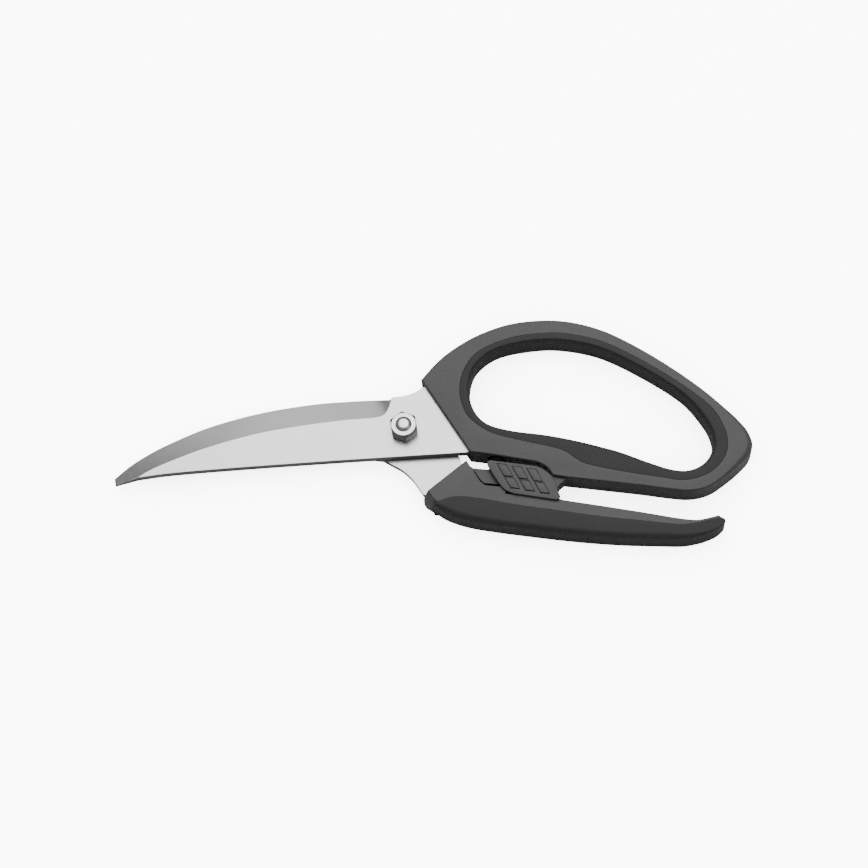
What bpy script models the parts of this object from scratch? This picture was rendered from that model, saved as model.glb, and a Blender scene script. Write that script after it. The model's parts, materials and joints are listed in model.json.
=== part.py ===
"""Poultry shears: two curved blades on a bolted pivot, a loop handle, a straight handle, a sliding lock.

The shears lie closed and flat on Z = 0. The pivot axis is the Z axis, the handles point along +X, and
the loop handle is on the +Y side. Outlines are in millimetres.
"""

import math

import bmesh
import bpy
from mathutils import Vector

MM = 0.001
CLEARANCE = 0.3  # gap between pieces that touch

# Levels along the pivot axis
HANDLE_BACK = 0.0
HANDLE_FRONT = 11.0
BLADE_THICKNESS = 3.0
BACK_BLADE_Z = 2.35
FRONT_BLADE_Z = BACK_BLADE_Z + BLADE_THICKNESS + CLEARANCE
WEB_LOW = 3.0  # the hard core that the soft grips wrap
WEB_HIGH = 8.0
HANDLE_EDGE = 1.2  # rounding of the handles' rims

# Pivot: M6 bolt and nut
BOLT_RADIUS = 3.0
BOLT_HEAD_RADIUS = 7.0
BOLT_SQUARE = 7.4
SLEEVE_RADIUS = 4.0
NUT_ACROSS_FLATS = 10.0
NUT_HEIGHT = 5.0
NUT_TURN = math.radians(10)
NUT_Z = FRONT_BLADE_Z + BLADE_THICKNESS + CLEARANCE

# Lock: it slides 5.5 mm towards the pivot, 8 degrees off the X axis
LOCK_SLOPE = math.radians(-8)
LOCK_TRAVEL = 5.5
RECESS_DEPTH = 1.4
STEM_WIDTH = 2.8
STEM_LENGTH = 4.4
STEM_CENTRE = (48.6, -27.5)
BUTTON_Z = HANDLE_FRONT + 0.2
BUTTON_THICKNESS = 0.8
PAD_RISE = 0.5  # the raised pads for the thumb
KEEPER_Z = 0.4
KEEPER_THICKNESS = 2.0

# Opening spring, between pockets in both handles
SPRING_X = 36.5
SPRING_Z = 5.5
SPRING_RADIUS = 2.8
WIRE_RADIUS = 0.45
SPRING_TURNS = 10
SPRING_LOW = -27.0
SPRING_HIGH = -7.4
POCKET_RADIUS = 3.7

STEEL = ("blade_steel", (0.74, 0.74, 0.75), 0.32, 1.0)
BRIGHT = ("fastener_steel", (0.70, 0.70, 0.71), 0.25, 1.0)
HARD = ("handle_grey", (0.115, 0.117, 0.121), 0.5, 0.0)
SOFT = ("grip_dark", (0.048, 0.048, 0.049), 0.7, 0.0)

# Front blade
FRONT_EDGE = [(-114.4, -20.3), (-108.1, -14.4), (-100.2, -8.9), (-92.4, -4.6), (-80.5, 1.0), (-68.7, 5.1),
              (-56.9, 8.3), (-45.1, 10.6), (-33.3, 12.3), (-21.4, 13.2), (-13.6, 13.6), (-5.2, 13.9)]
FRONT_GRIND = [(-104.8, -20.8), (-100.1, -17.6), (-92.2, -13.7), (-80.4, -8.8), (-68.6, -4.8), (-56.7, -1.5),
               (-44.9, 0.8), (-33.1, 2.7), (-21.3, 4.2), (-12.5, 4.9), (-8.2, 6.3), (-6.3, 9.6), (-5.2, 13.9)]
FRONT_ROOT = [(-5.2, 13.9), (-1.6, 14.3), (2.4, 15.4), (4.6, 16.5), (7.1, 18.4)]
FRONT_TANG = [(9.5, 18.5), (15.5, 18.0), (18.5, 12.0), (19.5, 6.0), (24.0, 0.5), (31.0, -4.0), (31.0, -8.5),
              (26.8, -9.3), (24.8, -9.9)]
FRONT_BACK = [(24.8, -9.9), (2.4, -11.4), (-33.1, -13.9), (-68.6, -16.7), (-92.2, -18.9), (-104.8, -20.8)]
FRONT_TIP = (-113.5, -23.4)
TIP_THICKNESS = 1.4
EDGE_THICKNESS = 0.25

# Back blade: hidden behind the front one, ground on its rear face along the lower edge
BACK_SPINE = [(-104.0, -13.6), (-92.4, -6.4), (-68.7, 3.3), (-45.1, 8.8), (-21.4, 11.5), (-10.0, 12.2)]
BACK_EDGE = [(-11.0, -11.2), (-33.1, -12.5), (-68.6, -15.2), (-92.2, -17.4), (-109.6, -20.9)]
BACK_GRIND = [(-11.0, -11.2), (-12.0, -8.0), (-16.0, -5.9), (-33.1, -6.5), (-68.6, -9.2), (-92.2, -11.6),
              (-104.0, -13.6)]
BACK_TIP = (-111.0, -19.6)
BACK_TANG = [(14.0, -4.6), (21.9, -10.4), (22.7, -13.5), (30.5, -20.0), (30.5, -27.0), (14.5, -27.3),
             (8.0, -26.3)]
BACK_TANG_ARC = [(8.0, -26.3), (4.0, -20.4), (-0.3, -16.2), (-4.8, -13.5), (-8.1, -11.6)]
PIVOT_DISC_RADIUS = 14.6

# Loop handle, counter-clockwise from the lower left corner
LOOP_BASE = [(26.2, -10.4), (33.0, -11.3), (40.3, -12.5), (52.3, -14.6)]
LOOP_NOTCH = [(52.3, -14.6), (54.9, -15.9), (56.9, -17.6), (58.7, -20.2)]
LOOP_OUTSIDE = [(64.2, -21.1), (77.0, -22.6), (93.0, -24.5), (104.5, -26.1), (112.5, -26.5), (120.1, -24.3),
                (128.0, -18.4), (131.8, -14.8), (134.6, -11.7), (136.4, -8.6), (136.8, -5.8), (135.7, -2.4),
                (133.8, 0.4), (131.2, 3.4), (128.1, 6.6), (116.8, 16.9), (104.2, 26.6), (91.5, 35.0),
                (79.0, 41.7), (66.2, 45.6), (54.2, 46.5), (40.6, 44.7), (27.9, 39.7), (17.7, 33.0),
                (11.6, 27.1), (6.3, 20.5)]
CATCH = [(57.4, -19.0), (58.3, -22.9), (57.4, -24.5), (54.8, -24.7), (54.8, -26.4), (59.4, -26.8),
         (61.4, -23.4), (64.6, -20.7), (64.6, -19.0)]
CATCH_HIGH = 9.4
GRIP_RING = [(25.4, 4.3), (30.4, 0.0), (37.0, -3.3), (49.8, -6.5), (58.0, -8.4), (63.6, -10.4), (67.9, -13.6),
             (72.5, -15.8), (85.2, -18.6), (101.0, -21.2), (109.0, -22.3), (116.8, -20.5), (122.8, -16.2),
             (126.4, -9.6), (126.0, -1.5), (120.7, 8.6), (108.9, 18.7), (93.1, 29.3), (77.4, 37.4),
             (62.0, 40.8), (50.0, 40.4), (43.4, 39.3), (37.5, 37.4), (31.5, 34.6), (27.3, 31.5), (24.2, 27.0),
             (22.2, 22.0), (21.6, 17.0), (21.9, 12.5), (23.3, 8.1)]
LOOP_HOLE = [(27.8, 7.4), (32.8, 2.0), (42.0, -0.8), (53.7, -2.3), (61.5, -3.6), (69.4, -5.25), (77.3, -7.4),
             (85.2, -9.8), (95.0, -13.8), (104.0, -17.2), (110.5, -17.8), (116.5, -15.1), (120.1, -10.3),
             (121.2, -4.0), (118.0, 4.2), (108.4, 14.6), (92.6, 25.6), (76.8, 34.1), (61.1, 37.4),
             (49.0, 36.9), (37.3, 33.9), (29.5, 28.7), (26.2, 22.5), (25.6, 14.6)]
RING_POINTS = 96
GRIP_DROP = 2.6  # how far the grip falls away from the face at the finger hole

# Straight handle
LOWER_APEX = [(8.3, -28.2), (24.8, -14.0), (26.6, -16.8), (32.8, -17.4), (41.0, -18.6)]
LOWER_SHELF = [(42.4, -23.8), (50.5, -24.4), (54.0, -27.4), (62.4, -30.5)]
LOWER_TOP = [(62.4, -30.5), (77.4, -32.9), (93.1, -35.5), (105.5, -37.7), (112.8, -38.6), (117.0, -38.1),
             (119.7, -37.4), (122.4, -36.7)]
LOWER_SPLIT = [(11.2, -32.3), (14.0, -31.2), (18.2, -29.8), (22.6, -29.2), (30.1, -30.0), (45.8, -32.8),
               (61.6, -35.1), (77.4, -37.4), (93.1, -39.1), (105.0, -40.4), (109.5, -40.5), (115.0, -39.6),
               (119.7, -38.5), (123.4, -37.5)]
LOWER_CORNER = [(11.2, -32.3), (9.0, -30.2), (8.2, -28.9), (8.3, -28.2)]
LOWER_BOTTOM = [(11.2, -32.3), (17.6, -35.8), (25.6, -38.6), (37.4, -40.7), (53.2, -42.8), (68.9, -44.6),
                (84.7, -45.8), (100.4, -46.4), (109.0, -46.4), (115.9, -44.8), (120.6, -42.9), (123.3, -41.0),
                (124.9, -39.0), (124.4, -38.0), (123.4, -37.5)]

# Lock pieces, as they stand when locked
BUTTON = [(33.0, -15.0), (34.3, -14.4), (52.4, -16.9), (54.4, -17.8), (57.1, -19.9), (58.9, -22.7),
          (61.5, -29.4), (61.0, -30.8), (59.6, -30.9), (43.4, -28.4), (40.3, -27.1), (38.4, -25.2),
          (35.4, -20.6), (33.1, -16.4)]
SLIDER_PLATE = [(34.8, -17.4), (50.0, -19.5), (53.4, -21.0), (54.4, -23.4), (52.8, -25.4), (52.4, -28.4),
                (46.6, -27.4), (46.4, -24.4), (39.5, -23.2), (37.5, -21.6)]
SLIDER_NOSE = [(50.2, -21.3), (56.5, -22.1), (56.5, -24.0), (50.2, -23.5)]
RECESS = [(27.3, -12.0), (27.3, -17.6), (29.1, -21.2), (30.5, -23.2), (31.9, -24.3), (38.4, -24.9),
          (39.9, -27.0), (41.9, -27.7), (49.8, -29.0), (60.5, -30.4), (61.5, -24.0), (60.0, -12.0)]
KEEPER = [(45.5, -25.4), (51.0, -26.15), (50.6, -29.45), (45.1, -28.7)]
KEEPER_RECESS = [(39.3, -24.15), (51.4, -25.8), (51.1, -30.0), (38.9, -28.35)]
PAD_COLUMNS = 3
PAD_START = (37.0, -16.1)
PAD_PITCH = (5.8, -1.0)
PAD_LEAN = (5.3, -9.9)
PAD_ACROSS = (3.3, -0.35)
PAD_SPANS = ((0.0, 0.5), (0.59, 1.0))  # the upper and the lower pad of a column, as shares of its lean


def clearScene():
    for thing in list(bpy.data.objects):
        bpy.data.objects.remove(thing, do_unlink=True)


def paint(thing, look):
    name, colour, roughness, metallic = look
    material = bpy.data.materials.new(f"{thing.name}_{name}")
    material.use_nodes = True
    shader = material.node_tree.nodes["Principled BSDF"]
    shader.inputs["Base Color"].default_value = (*colour, 1)
    shader.inputs["Roughness"].default_value = roughness
    shader.inputs["Metallic"].default_value = metallic
    thing.data.materials.append(material)


def curve(points, steps=3):
    """A smooth run through the points, as a Catmull-Rom curve."""
    ends = [tuple(2 * a - b for a, b in zip(points[0], points[1]))]
    tail = [tuple(2 * a - b for a, b in zip(points[-1], points[-2]))]
    knots = [Vector(p) for p in ends + list(points) + tail]
    run = []
    for before, start, end, after in zip(knots, knots[1:], knots[2:], knots[3:]):
        for step in range(steps):
            t = step / steps
            run.append(0.5 * (2 * start + (end - before) * t
                              + (2 * before - 5 * start + 4 * end - after) * t ** 2
                              + (3 * start - before - 3 * end + after) * t ** 3))
    return [(p.x, p.y) for p in run] + [tuple(points[-1])]


def closedCurve(points, steps=4):
    """A smooth closed run through the points."""
    wrapped = points[-2:] + points + points[:3]
    run = curve(wrapped, steps)
    return run[2 * steps:(len(points) + 2) * steps]


def outline(*runs):
    """One closed outline from runs that meet end to end, without doubled points."""
    points = []
    for run in runs:
        for point in run:
            if not points or math.dist(point, points[-1]) > 0.05:
                points.append(point)
    if math.dist(points[0], points[-1]) < 0.05:
        points.pop()
    area = sum(a[0] * b[1] - b[0] * a[1] for a, b in zip(points, points[1:] + points[:1]))
    return points if area > 0 else points[::-1]


def offset(points, distance):
    """The outline grown by a distance, or shrunk by a negative one. A list gives each point its own."""
    moved = []
    count = len(points)
    distances = distance if isinstance(distance, list) else [distance] * count
    for index, point in enumerate(points):
        here = Vector(point)
        into = (here - Vector(points[index - 1])).normalized()
        out = (Vector(points[(index + 1) % count]) - here).normalized()
        normal = Vector((into.y + out.y, -into.x - out.x))
        if normal.length < 1e-6:
            normal = Vector((out.y, -out.x))
        normal.normalize()
        reach = max(0.5, normal.dot(Vector((out.y, -out.x))))
        moved.append(tuple(here + normal * distances[index] / reach))
    return moved


def evenly(points, count, start):
    """Points at equal distances round a closed outline, from the one nearest to start."""
    first = min(range(len(points)), key=lambda i: math.dist(points[i], start))
    ring = points[first:] + points[:first + 1]
    lengths = [math.dist(a, b) for a, b in zip(ring, ring[1:])]
    pace = sum(lengths) / count
    result = []
    index, walked = 0, 0.0
    for number in range(count):
        target = number * pace
        while walked + lengths[index] < target:
            walked += lengths[index]
            index += 1
        part = (target - walked) / lengths[index]
        a, b = Vector(ring[index]), Vector(ring[index + 1])
        result.append(tuple(a.lerp(b, part)))
    return result


def addObject(name, build):
    """A new mesh object from a bmesh in millimetres."""
    bmesh.ops.remove_doubles(build, verts=build.verts, dist=1e-4)
    bmesh.ops.recalc_face_normals(build, faces=build.faces)
    bmesh.ops.scale(build, vec=(MM, MM, MM), verts=build.verts)
    mesh = bpy.data.meshes.new(name)
    build.to_mesh(mesh)
    build.free()
    thing = bpy.data.objects.new(name, mesh)
    bpy.context.scene.collection.objects.link(thing)
    return thing


def stack(name, rings, ringShaped=False):
    """A solid from stacked rings of 3-D points: capped at both ends, or closed on itself as a torus."""
    build = bmesh.new()
    rows = [[build.verts.new(p) for p in ring] for ring in rings]
    pairs = list(zip(rows, rows[1:]))
    if ringShaped:
        pairs.append((rows[-1], rows[0]))
    else:
        build.faces.new(rows[0][::-1])
        build.faces.new(rows[-1])
    for low, high in pairs:
        for index in range(len(low)):
            after = (index + 1) % len(low)
            build.faces.new((low[index], low[after], high[after], high[index]))
    return addObject(name, build)


def level(points, z):
    return [(x, y, z) for x, y in points]


def slab(name, points, low, high, edge=0.0):
    """A plate of the outline's shape, with its rims rounded by the edge size, or by one for each point."""
    if not edge:
        return stack(name, [level(points, low), level(points, high)])
    edges = edge if isinstance(edge, list) else [edge] * len(points)
    small, middle = offset(points, [-e for e in edges]), offset(points, [-e * 0.3 for e in edges])

    def raised(ring, start, share):
        return [(x, y, start + e * share) for (x, y), e in zip(ring, edges)]

    return stack(name, [raised(small, low, 0), raised(middle, low, 0.3), raised(points, low, 1),
                        raised(points, high, -1), raised(middle, high, -0.3), raised(small, high, 0)])


def circle(radius, sides=32, centre=(0.0, 0.0), turn=0.0):
    return [(centre[0] + radius * math.cos(turn + 2 * math.pi * i / sides),
             centre[1] + radius * math.sin(turn + 2 * math.pi * i / sides)) for i in range(sides)]


def arc(radius, start, end, steps):
    angles = [math.radians(start + (end - start) * i / steps) for i in range(steps + 1)]
    return [(radius * math.cos(a), radius * math.sin(a)) for a in angles]


def turned(name, profile, sides=32, turn=0.0):
    """A solid of revolution about the pivot from (radius, z) pairs, bottom first."""
    return stack(name, [level(circle(radius, sides, turn=turn), z) for radius, z in profile])


def combine(target, tool, operation="DIFFERENCE"):
    """Cuts the tool from the target, or joins it on, and hides the tool."""
    modifier = target.modifiers.new(tool.name, "BOOLEAN")
    modifier.operation = operation
    modifier.solver = "EXACT"
    modifier.object = tool
    tool.hide_render = True
    tool.display_type = "WIRE"


def across(name, radius, low, high):
    """A round cutter along Y through the spring's axis."""
    rings = [[(SPRING_X + x, y, SPRING_Z + z) for x, z in circle(radius, 24)] for y in (low, high)]
    return stack(name, rings)


def smooth(thing, degrees=35):
    thing.data.shade_smooth()
    thing.data.set_sharp_from_angle(angle=math.radians(degrees))


def blade(name, edgeRun, grindRun, flatRun, tipLow, faceZ, groundZ):
    """A blade ground on one side. The flat side lies at faceZ, and the ground side at groundZ.

    The edge and grind runs have as many points, and end at the root. The rest of the outline runs from the
    root, round the tang, to the grind's start.
    """
    away = 1 if groundZ > faceZ else -1
    edgeZ = faceZ + away * EDGE_THICKNESS
    tipZ = faceZ + away * TIP_THICKNESS
    build = bmesh.new()
    new = build.verts.new
    edgeFlat = [new((x, y, faceZ)) for x, y in edgeRun]
    edgeRise = [new((x, y, edgeZ)) for x, y in edgeRun]
    grind = [new((*grindRun[0], tipZ))] + [new((x, y, groundZ)) for x, y in grindRun[1:]]
    restFlat = [new((x, y, faceZ)) for x, y in flatRun]
    restRise = [new((x, y, groundZ)) for x, y in flatRun[:-1]] + [grind[1]]
    tip = new((*tipLow, faceZ))
    for index in range(len(edgeRun) - 1):
        build.faces.new((edgeRise[index], edgeRise[index + 1], grind[index + 1], grind[index]))
        build.faces.new((edgeFlat[index], edgeFlat[index + 1], edgeRise[index + 1], edgeRise[index]))
    build.faces.new((edgeFlat[-1], restFlat[0], restRise[0], edgeRise[-1]))
    build.faces.new((edgeRise[-1], restRise[0], grind[-1]))
    for index in range(len(flatRun) - 1):
        build.faces.new((restFlat[index], restFlat[index + 1], restRise[index + 1], restRise[index]))
    build.faces.new((restFlat[-1], tip, grind[0], grind[1]))
    build.faces.new((tip, edgeFlat[0], edgeRise[0], grind[0]))
    build.faces.new(grind[1:] + restRise[:-1])
    build.faces.new([tip] + edgeFlat + restFlat)
    bmesh.ops.triangulate(build, faces=build.faces)
    return addObject(name, build)


def frontBlade():
    edge = curve(FRONT_EDGE, 4)
    grind = [FRONT_TIP] + evenlyOpen(curve(FRONT_GRIND, 4), len(edge) - 1)
    rest = outlineOpen(curve(FRONT_ROOT)[1:], FRONT_TANG, curve(FRONT_BACK, 2))
    thing = blade("front_blade", edge, grind, rest, FRONT_TIP, FRONT_BLADE_Z, FRONT_BLADE_Z + BLADE_THICKNESS)
    combine(thing, turned("front_blade_hole", [(SLEEVE_RADIUS + 0.3, FRONT_BLADE_Z - 1), (SLEEVE_RADIUS + 0.3, 12)]))
    paint(thing, STEEL)


def evenlyOpen(points, count):
    """Points at equal distances along an open run, ends included."""
    lengths = [math.dist(a, b) for a, b in zip(points, points[1:])]
    pace = sum(lengths) / (count - 1)
    result = [points[0]]
    index, walked = 0, 0.0
    for number in range(1, count - 1):
        while walked + lengths[index] < number * pace:
            walked += lengths[index]
            index += 1
        part = (number * pace - walked) / lengths[index]
        result.append(tuple(Vector(points[index]).lerp(Vector(points[index + 1]), part)))
    return result + [points[-1]]


def outlineOpen(*runs):
    """One open run from runs that meet end to end, without doubled points."""
    points = []
    for run in runs:
        for point in run:
            if not points or math.dist(point, points[-1]) > 0.05:
                points.append(point)
    return points


def backBlade():
    top = BACK_BLADE_Z + BLADE_THICKNESS
    edge = curve(BACK_EDGE[::-1], 4)
    grind = [BACK_TIP] + evenlyOpen(curve(BACK_GRIND[::-1], 4), len(edge) - 1)
    disc = arc(PIVOT_DISC_RADIUS, 118, -17, 18)
    rest = outlineOpen(BACK_TANG_ARC[::-1], BACK_TANG[::-1], disc[::-1], curve(BACK_SPINE[::-1], 2))
    thing = blade("back_blade", edge, grind, rest, BACK_TIP, top, BACK_BLADE_Z)
    combine(thing, slab("square_hole", circle(BOLT_SQUARE / math.sqrt(2), 4, turn=math.pi / 4), 0, 8))
    paint(thing, STEEL)


def pivot():
    square = (BOLT_SQUARE / 2 - CLEARANCE) * math.sqrt(2)
    head = turned("pivot_bolt", [(BOLT_HEAD_RADIUS - 0.3, 0), (BOLT_HEAD_RADIUS, 0.3), (BOLT_HEAD_RADIUS, 1.4),
                                 (BOLT_HEAD_RADIUS - 0.9, BACK_BLADE_Z - CLEARANCE)])
    neck = slab("bolt_neck", circle(square, 4, turn=math.pi / 4), 1, FRONT_BLADE_Z - CLEARANCE)
    end = NUT_Z + NUT_HEIGHT
    shank = turned("bolt_shank", [(BOLT_RADIUS, 1), (BOLT_RADIUS, end), (2.1, end + 0.7)])
    combine(head, neck, "UNION")
    combine(head, shank, "UNION")
    smooth(head)
    paint(head, BRIGHT)

    sleeve = turned("pivot_sleeve", [(SLEEVE_RADIUS, FRONT_BLADE_Z), (SLEEVE_RADIUS, NUT_Z - CLEARANCE)])
    combine(sleeve, turned("sleeve_bore", [(BOLT_RADIUS + 0.3, 0), (BOLT_RADIUS + 0.3, 20)]))
    smooth(sleeve)
    paint(sleeve, BRIGHT)

    corner = NUT_ACROSS_FLATS / math.sqrt(3)
    nut = slab("pivot_nut", circle(corner, 6, turn=NUT_TURN - math.pi / 2), NUT_Z, NUT_Z + NUT_HEIGHT)
    flat = NUT_ACROSS_FLATS / 2
    chamfer = turned("nut_chamfer", [(flat - 0.1, NUT_Z - 0.1), (corner + 0.3, NUT_Z + 0.5),
                                     (corner + 0.3, NUT_Z + NUT_HEIGHT - 0.6),
                                     (flat - 0.2, NUT_Z + NUT_HEIGHT + 0.1)], 48)
    combine(nut, chamfer, "INTERSECT")
    bore = turned("nut_bore", [(BOLT_RADIUS + 0.3, 0), (BOLT_RADIUS + 0.3, 20)])
    combine(nut, bore)
    paint(nut, BRIGHT)


def loopOutline():
    return outline(LOOP_BASE, curve(LOOP_NOTCH, 2), curve(LOOP_OUTSIDE), [LOOP_BASE[0]])


def loopHandle():
    ring = closedCurve(GRIP_RING)
    hole = closedCurve(LOOP_HOLE)
    core = offset(hole, 2.2)

    shell = slab("loop_handle_shell", loopOutline(), HANDLE_BACK, HANDLE_FRONT, HANDLE_EDGE)
    combine(shell, slab("loop_opening", offset(ring, CLEARANCE / 2), -1, HANDLE_FRONT + 1))
    web = slab("loop_web", offset(ring, 2.0), WEB_LOW, WEB_HIGH)
    combine(web, slab("web_opening", core, 0, HANDLE_FRONT))
    combine(shell, web, "UNION")
    combine(shell, slab("catch", CATCH, WEB_LOW, CATCH_HIGH, 0.3), "UNION")
    tang = outline([(4.0, 21.0)], [(9.0, 19.0)], FRONT_TANG[1:-1], [(25.6, -9.6), (10.0, -9.6)])
    combine(shell, slab("loop_tang_pocket", offset(tang, CLEARANCE), FRONT_BLADE_Z - CLEARANCE,
                        FRONT_BLADE_Z + BLADE_THICKNESS + CLEARANCE))
    combine(shell, across("loop_spring_pocket", POCKET_RADIUS, SPRING_HIGH + 0.3, -16))
    paint(shell, HARD)

    outer = evenly(offset(ring, -CLEARANCE / 2), RING_POINTS, (21.9, 12.5))
    inner = evenly(hole, RING_POINTS, (25.6, 14.6))
    between = [tuple(Vector(a).lerp(Vector(b), 0.8)) for a, b in zip(outer, inner)]
    high, low = HANDLE_FRONT, HANDLE_BACK
    grip = stack("loop_handle_grip", [level(outer, low), level(outer, high), level(between, high - GRIP_DROP * 0.7),
                                      level(inner, high - GRIP_DROP * 1.3), level(inner, low + GRIP_DROP * 1.3),
                                      level(between, low + GRIP_DROP * 0.7)], ringShaped=True)
    groove = slab("grip_groove", offset(ring, 3.0), WEB_LOW - CLEARANCE, WEB_HIGH + CLEARANCE)
    combine(groove, slab("groove_core", offset(core, -CLEARANCE), 0, HANDLE_FRONT))
    combine(grip, groove)
    smooth(grip)
    paint(grip, SOFT)


def lowerHandle():
    split = curve(LOWER_SPLIT)
    bottom = curve(LOWER_BOTTOM)
    body = outline(LOWER_APEX, LOWER_SHELF, curve(LOWER_TOP), split[::-1], LOWER_CORNER)
    shell = slab("lower_handle_shell", offset(body, -CLEARANCE / 2), HANDLE_BACK, HANDLE_FRONT, 0.25)
    core = [tuple(Vector(a).lerp(Vector(b), 0.55)) for a, b in
            zip(evenlyOpen(split, 30)[2:25], evenlyOpen(bottom, 30)[2:25])]
    above = [(x, y + 1.5) for x, y in evenlyOpen(split, 30)[2:24]]
    webShape = outline(core, above[::-1])
    combine(shell, slab("lower_web", webShape, WEB_LOW, WEB_HIGH), "UNION")
    combine(shell, cornerCutter())
    tang = outline(BACK_TANG[1:], [(8.0, -26.3), (2.0, -14.0)])
    combine(shell, slab("lower_tang_pocket", offset(tang, CLEARANCE), BACK_BLADE_Z - CLEARANCE,
                        BACK_BLADE_Z + BLADE_THICKNESS + CLEARANCE))
    combine(shell, across("lower_spring_pocket", POCKET_RADIUS, SPRING_LOW - 0.3, -14))
    combine(shell, slab("front_recess", RECESS, HANDLE_FRONT - RECESS_DEPTH, HANDLE_FRONT + 2))
    combine(shell, slab("rear_recess", KEEPER_RECESS, -1, KEEPER_Z + KEEPER_THICKNESS + CLEARANCE))
    combine(shell, slab("slide_slot", stemShape(STEM_WIDTH + 0.7, LOCK_TRAVEL + 0.6), -1, HANDLE_FRONT + 1))
    paint(shell, HARD)

    soft = outline(bottom, split[::-1])
    soft = offset(soft, -CLEARANCE / 2)
    edges = [HANDLE_EDGE * min(max((125.5 - x) / 8, 0.2), 1) for x, y in soft]  # finer towards the tail
    grip = slab("lower_handle_grip", soft, HANDLE_BACK, HANDLE_FRONT, edges)
    combine(grip, slab("lower_grip_groove", offset(webShape, CLEARANCE), WEB_LOW - CLEARANCE,
                       WEB_HIGH + CLEARANCE))
    paint(grip, SOFT)


def cornerCutter():
    """A wedge whose sloping side takes the corner off the front of the hard core, next to the back blade."""
    along, away = Vector((0.6, -0.8)), Vector((-0.8, -0.6))
    rings = []
    for z, out in ((4.0, 3.27), (12.0, -0.47)):
        corners = [Vector((10.1, -26.6)) + along * s + away * (out + t) for s, t in
                   ((-9, 0), (14, 0), (14, 9), (-9, 9))]
        rings.append([(p.x, p.y, z) for p in corners])
    return stack("corner_cutter", rings)


def stemShape(width, travel):
    """The stem's outline, or the slot's with its travel towards the pivot."""
    along = Vector((math.cos(LOCK_SLOPE), math.sin(LOCK_SLOPE)))
    side = Vector((-along.y, along.x)) * width / 2
    centre = Vector(STEM_CENTRE)
    right = centre + along * (STEM_LENGTH / 2 + (CLEARANCE if travel else 0))
    left = centre - along * (STEM_LENGTH / 2 + travel)
    return outline([tuple(left - side), tuple(right - side), tuple(right + side), tuple(left + side)])


def lock():
    slide = bpy.data.objects.new("lock_slide", None)
    slide.location = (STEM_CENTRE[0] * MM, STEM_CENTRE[1] * MM, 0)
    bpy.context.scene.collection.objects.link(slide)
    bpy.context.view_layer.update()

    button = slab("lock_button", outline(BUTTON), BUTTON_Z, BUTTON_Z + BUTTON_THICKNESS, 0.3)
    lean, wide = Vector(PAD_LEAN), Vector(PAD_ACROSS)
    for number in range(PAD_COLUMNS):
        start = Vector(PAD_START) + Vector(PAD_PITCH) * number
        for low, high in PAD_SPANS:
            corners = [start + lean * low, start + lean * low + wide, start + lean * high + wide,
                       start + lean * high]
            pad = slab(f"button_pad_{number}_{low}", outline([tuple(c) for c in corners]), BUTTON_Z + 0.4,
                       BUTTON_Z + BUTTON_THICKNESS + PAD_RISE, 0.15)
            combine(button, pad, "UNION")
    paint(button, HARD)

    floor = HANDLE_FRONT - RECESS_DEPTH + 0.2
    slider = slab("lock_slider", outline(SLIDER_PLATE), floor, BUTTON_Z - 0.2)
    combine(slider, slab("slider_nose", outline(SLIDER_NOSE), WEB_LOW, floor + 0.5, 0.2), "UNION")
    stemLow = KEEPER_Z + KEEPER_THICKNESS + 0.1
    combine(slider, slab("slider_stem", stemShape(STEM_WIDTH, 0), stemLow, floor + 0.5), "UNION")
    combine(slider, slab("stem_bore", circle(1.0, 16, STEM_CENTRE), stemLow - 1, 8.0))
    paint(slider, HARD)

    keeper = slab("lock_keeper_plate", outline(KEEPER), KEEPER_Z, KEEPER_Z + KEEPER_THICKNESS, 0.2)
    combine(keeper, slab("keeper_bore", circle(0.95, 16, STEM_CENTRE), 0, 5))
    combine(keeper, slab("keeper_counterbore", circle(1.4, 24, STEM_CENTRE), 0, KEEPER_Z + 1.2))
    paint(keeper, HARD)

    screw = slab("lock_screw", circle(1.2, 24, STEM_CENTRE), KEEPER_Z, KEEPER_Z + 0.9, 0.15)
    combine(screw, slab("screw_shank", circle(0.75, 16, STEM_CENTRE), KEEPER_Z + 0.5, 7.6), "UNION")
    paint(screw, BRIGHT)

    for piece in (button, slider, keeper, screw):
        piece.data.transform(slide.matrix_world.inverted())
        piece.parent = slide


def openingSpring():
    """A coil along Y from the lower pocket to the upper one, with its end turns wound close."""
    steps = SPRING_TURNS * 14
    low, high = SPRING_LOW + WIRE_RADIUS, SPRING_HIGH - WIRE_RADIUS
    path = bpy.data.curves.new("opening_spring", "CURVE")
    path.dimensions = "3D"
    path.bevel_depth = WIRE_RADIUS * MM
    path.bevel_resolution = 1
    path.use_fill_caps = True
    run = path.splines.new("POLY")
    run.points.add(steps)
    closeWound = 1.2 / SPRING_TURNS
    for number, point in enumerate(run.points):
        t = number / steps
        angle = 2 * math.pi * SPRING_TURNS * t
        rise = min(max((t - closeWound) / (1 - 2 * closeWound), 0), 1)
        endPitch = 2 * WIRE_RADIUS * 1.15 * 1.2
        lower = min(t / closeWound, 1) * endPitch
        upper = max((t - 1) / closeWound, -1) * endPitch + endPitch
        y = low + lower + rise * (high - low - 2 * endPitch) + upper
        x, z = SPRING_RADIUS * math.cos(angle), SPRING_RADIUS * math.sin(angle)
        point.co = ((SPRING_X + x) * MM, y * MM, (SPRING_Z + z) * MM, 1)
    thing = bpy.data.objects.new("opening_spring", path)
    bpy.context.scene.collection.objects.link(thing)
    paint(thing, BRIGHT)


clearScene()
frontBlade()
backBlade()
pivot()
loopHandle()
lowerHandle()
lock()
openingSpring()
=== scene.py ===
import json
import math

import bpy
from mathutils import Matrix, Vector


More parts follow.
